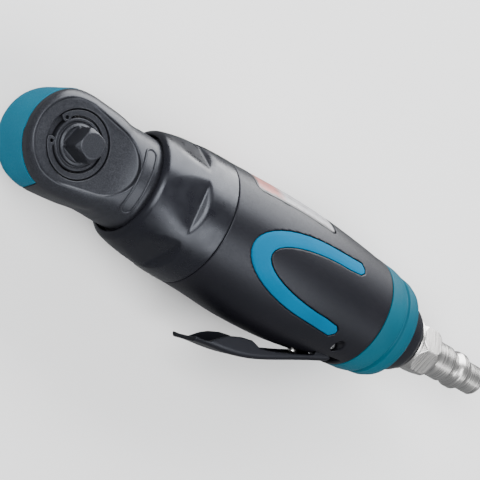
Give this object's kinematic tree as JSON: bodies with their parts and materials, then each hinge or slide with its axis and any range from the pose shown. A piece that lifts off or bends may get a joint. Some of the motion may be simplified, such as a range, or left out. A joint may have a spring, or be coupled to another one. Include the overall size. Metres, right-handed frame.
{
  "type": "air ratchet",
  "caption": "Compact air ratchet with a square drive in a flat head, a tapered body with a grip inlay, a lever throttle and a quick-coupling plug.",
  "frame": {"origin": "centre of the square drive's end face", "axes": "+X runs back along the tool towards the air inlet, +Z points out along the square drive, the throttle lever hangs on the -Y side"},
  "size_m": [0.1606, 0.0449, 0.0354],
  "materials": {
    "black_steel": "satin black coating on steel",
    "turquoise_rubber": "satin turquoise",
    "gloss_black": "gloss black",
    "satin_black": "satin black composite",
    "label": "printed silver-grey label",
    "nickel_steel": "satin nickel plate",
    "ground_steel": "ground steel",
    "brass": "turned brass",
    "vane_laminate": "fibre laminate",
    "felt": "grey felt",
    "seal_rubber": "black rubber"
  },
  "bodies": {
    "housing": {"ratchet_head": "black_steel", "nose_bumper": "turquoise_rubber", "thrust_washer": "ground_steel", "retaining_ring": "black_steel", "crank_bearing": "brass", "ring_gear": "ground_steel", "head_lock_nut": "ground_steel", "front_sleeve": "gloss_black", "front_end_plate": "ground_steel", "front_rotor_bearing": "ground_steel", "motor_cylinder": "ground_steel", "rear_end_plate": "ground_steel", "rear_rotor_bearing": "ground_steel", "rear_housing": "satin_black", "grip_inlay": "turquoise_rubber", "label_plate": "label", "rear_ring": "turquoise_rubber", "silencer_felt": "felt", "inlet_bush": "gloss_black", "inlet_plug": "nickel_steel", "plug_seal": "seal_rubber", "lever_pin": "ground_steel", "pin_bush": "brass", "valve_seat": "brass", "valve_spring": "ground_steel"},
    "drive": {"drive_anvil": "black_steel", "pawl_pin": "ground_steel", "pawl_spring": "ground_steel", "ball_spring": "ground_steel"},
    "drive_ball": {"drive_ball": "ground_steel"},
    "pawl": {"drive_pawl": "ground_steel"},
    "knob": {"reverse_knob": "black_steel"},
    "yoke": {"ratchet_yoke": "ground_steel"},
    "crank": {"crankshaft": "ground_steel"},
    "bushing": {"drive_bushing": "ground_steel"},
    "planet_1": {"planet_gear_1": "ground_steel"},
    "planet_2": {"planet_gear_2": "ground_steel"},
    "planet_3": {"planet_gear_3": "ground_steel"},
    "rotor": {"motor_rotor": "ground_steel"},
    "lever": {"throttle_lever": "gloss_black"},
    "throttle_pin": {"throttle_pin": "nickel_steel"},
    "valve": {"throttle_valve": "brass"},
    "vane_1": {"rotor_vane_1": "vane_laminate"},
    "vane_2": {"rotor_vane_2": "vane_laminate"},
    "vane_3": {"rotor_vane_3": "vane_laminate"},
    "vane_4": {"rotor_vane_4": "vane_laminate"},
    "vane_5": {"rotor_vane_5": "vane_laminate"}
  },
  "joints": [
    {"name": "drive_spin", "type": "hinge", "parent": "housing", "child": "drive", "pos_m": [0, 0, -0.0161], "axis": [0, 0, 1], "continuous": true},
    {"name": "ball_press", "type": "slide", "parent": "drive", "child": "drive_ball", "axis": [-0.9455, 0.3256, 0], "range_m": [0, 0.0004], "stiffness_N_per_m": 500, "springref_m": -0.0002, "deforming": ["ball_spring"]},
    {"name": "knob_turn", "type": "hinge", "parent": "drive", "child": "knob", "pos_m": [0, 0, -0.0161], "axis": [0, 0, -1], "range_deg": [0, 60]},
    {"name": "pawl_rock", "type": "hinge", "parent": "drive", "child": "pawl", "pos_m": [0.0029, 0, -0.0161], "axis": [0, 0, 1], "range_deg": [-12, 0]},
    {"name": "yoke_rock", "type": "hinge", "parent": "housing", "child": "yoke", "pos_m": [0, 0, -0.0161], "axis": [0, 0, 1], "range_deg": [-3.8, 3.8]},
    {"name": "crank_spin", "type": "hinge", "parent": "housing", "child": "crank", "pos_m": [0, 0, -0.0161], "axis": [1, 0, 0], "continuous": true},
    {"name": "bushing_spin", "type": "hinge", "parent": "crank", "child": "bushing", "pos_m": [0.0151, 0, -0.0151], "axis": [1, 0, 0], "continuous": true},
    {"name": "planet_spin_1", "type": "hinge", "parent": "crank", "child": "planet_1", "pos_m": [0.0403, 0, -0.0221], "axis": [1, 0, 0], "continuous": true},
    {"name": "planet_spin_2", "type": "hinge", "parent": "crank", "child": "planet_2", "pos_m": [0.0403, 0.0052, -0.0131], "axis": [1, 0, 0], "continuous": true},
    {"name": "planet_spin_3", "type": "hinge", "parent": "crank", "child": "planet_3", "pos_m": [0.0403, -0.0052, -0.0131], "axis": [1, 0, 0], "continuous": true},
    {"name": "rotor_spin", "type": "hinge", "parent": "housing", "child": "rotor", "pos_m": [0.06, 0, -0.0161], "axis": [1, 0, 0], "continuous": true},
    {"name": "vane_slide_1", "type": "slide", "parent": "rotor", "child": "vane_1", "axis": [0, 0.5878, -0.809], "range_m": [0, 0.0007]},
    {"name": "vane_slide_2", "type": "slide", "parent": "rotor", "child": "vane_2", "axis": [0, 0.9511, 0.309], "range_m": [0, 0.0007]},
    {"name": "vane_slide_3", "type": "slide", "parent": "rotor", "child": "vane_3", "axis": [0, 0, 1], "range_m": [0, 0.0007]},
    {"name": "vane_slide_4", "type": "slide", "parent": "rotor", "child": "vane_4", "axis": [0, -0.9511, 0.309], "range_m": [0, 0.0007]},
    {"name": "vane_slide_5", "type": "slide", "parent": "rotor", "child": "vane_5", "axis": [0, -0.5878, -0.809], "range_m": [0, 0.0007]},
    {"name": "lever_press", "type": "hinge", "parent": "housing", "child": "lever", "pos_m": [0.0911, -0.0119, -0.0161], "axis": [0, 0, -1], "range_deg": [0, 6], "stiffness_Nm_per_rad": 2, "springref_deg": -8.59},
    {"name": "pin_press", "type": "slide", "parent": "housing", "child": "throttle_pin", "axis": [0, 1, 0], "range_m": [0, 0.0006]},
    {"name": "valve_lift", "type": "slide", "parent": "housing", "child": "valve", "axis": [1, 0, 0], "range_m": [0, 0.00045], "deforming": ["valve_spring"]}
  ],
  "couplings": [
    {"joint": "pawl_rock", "follows": "knob_turn", "ratio": -0.2},
    {"joint": "crank_spin", "follows": "rotor_spin", "ratio": 0.25},
    {"joint": "planet_spin_1", "follows": "rotor_spin", "ratio": -0.75},
    {"joint": "planet_spin_2", "follows": "rotor_spin", "ratio": -0.75},
    {"joint": "planet_spin_3", "follows": "rotor_spin", "ratio": -0.75},
    {"joint": "pin_press", "follows": "lever_press", "m_per_rad": 0.0051},
    {"joint": "valve_lift", "follows": "lever_press", "m_per_rad": 0.004}
  ]
}
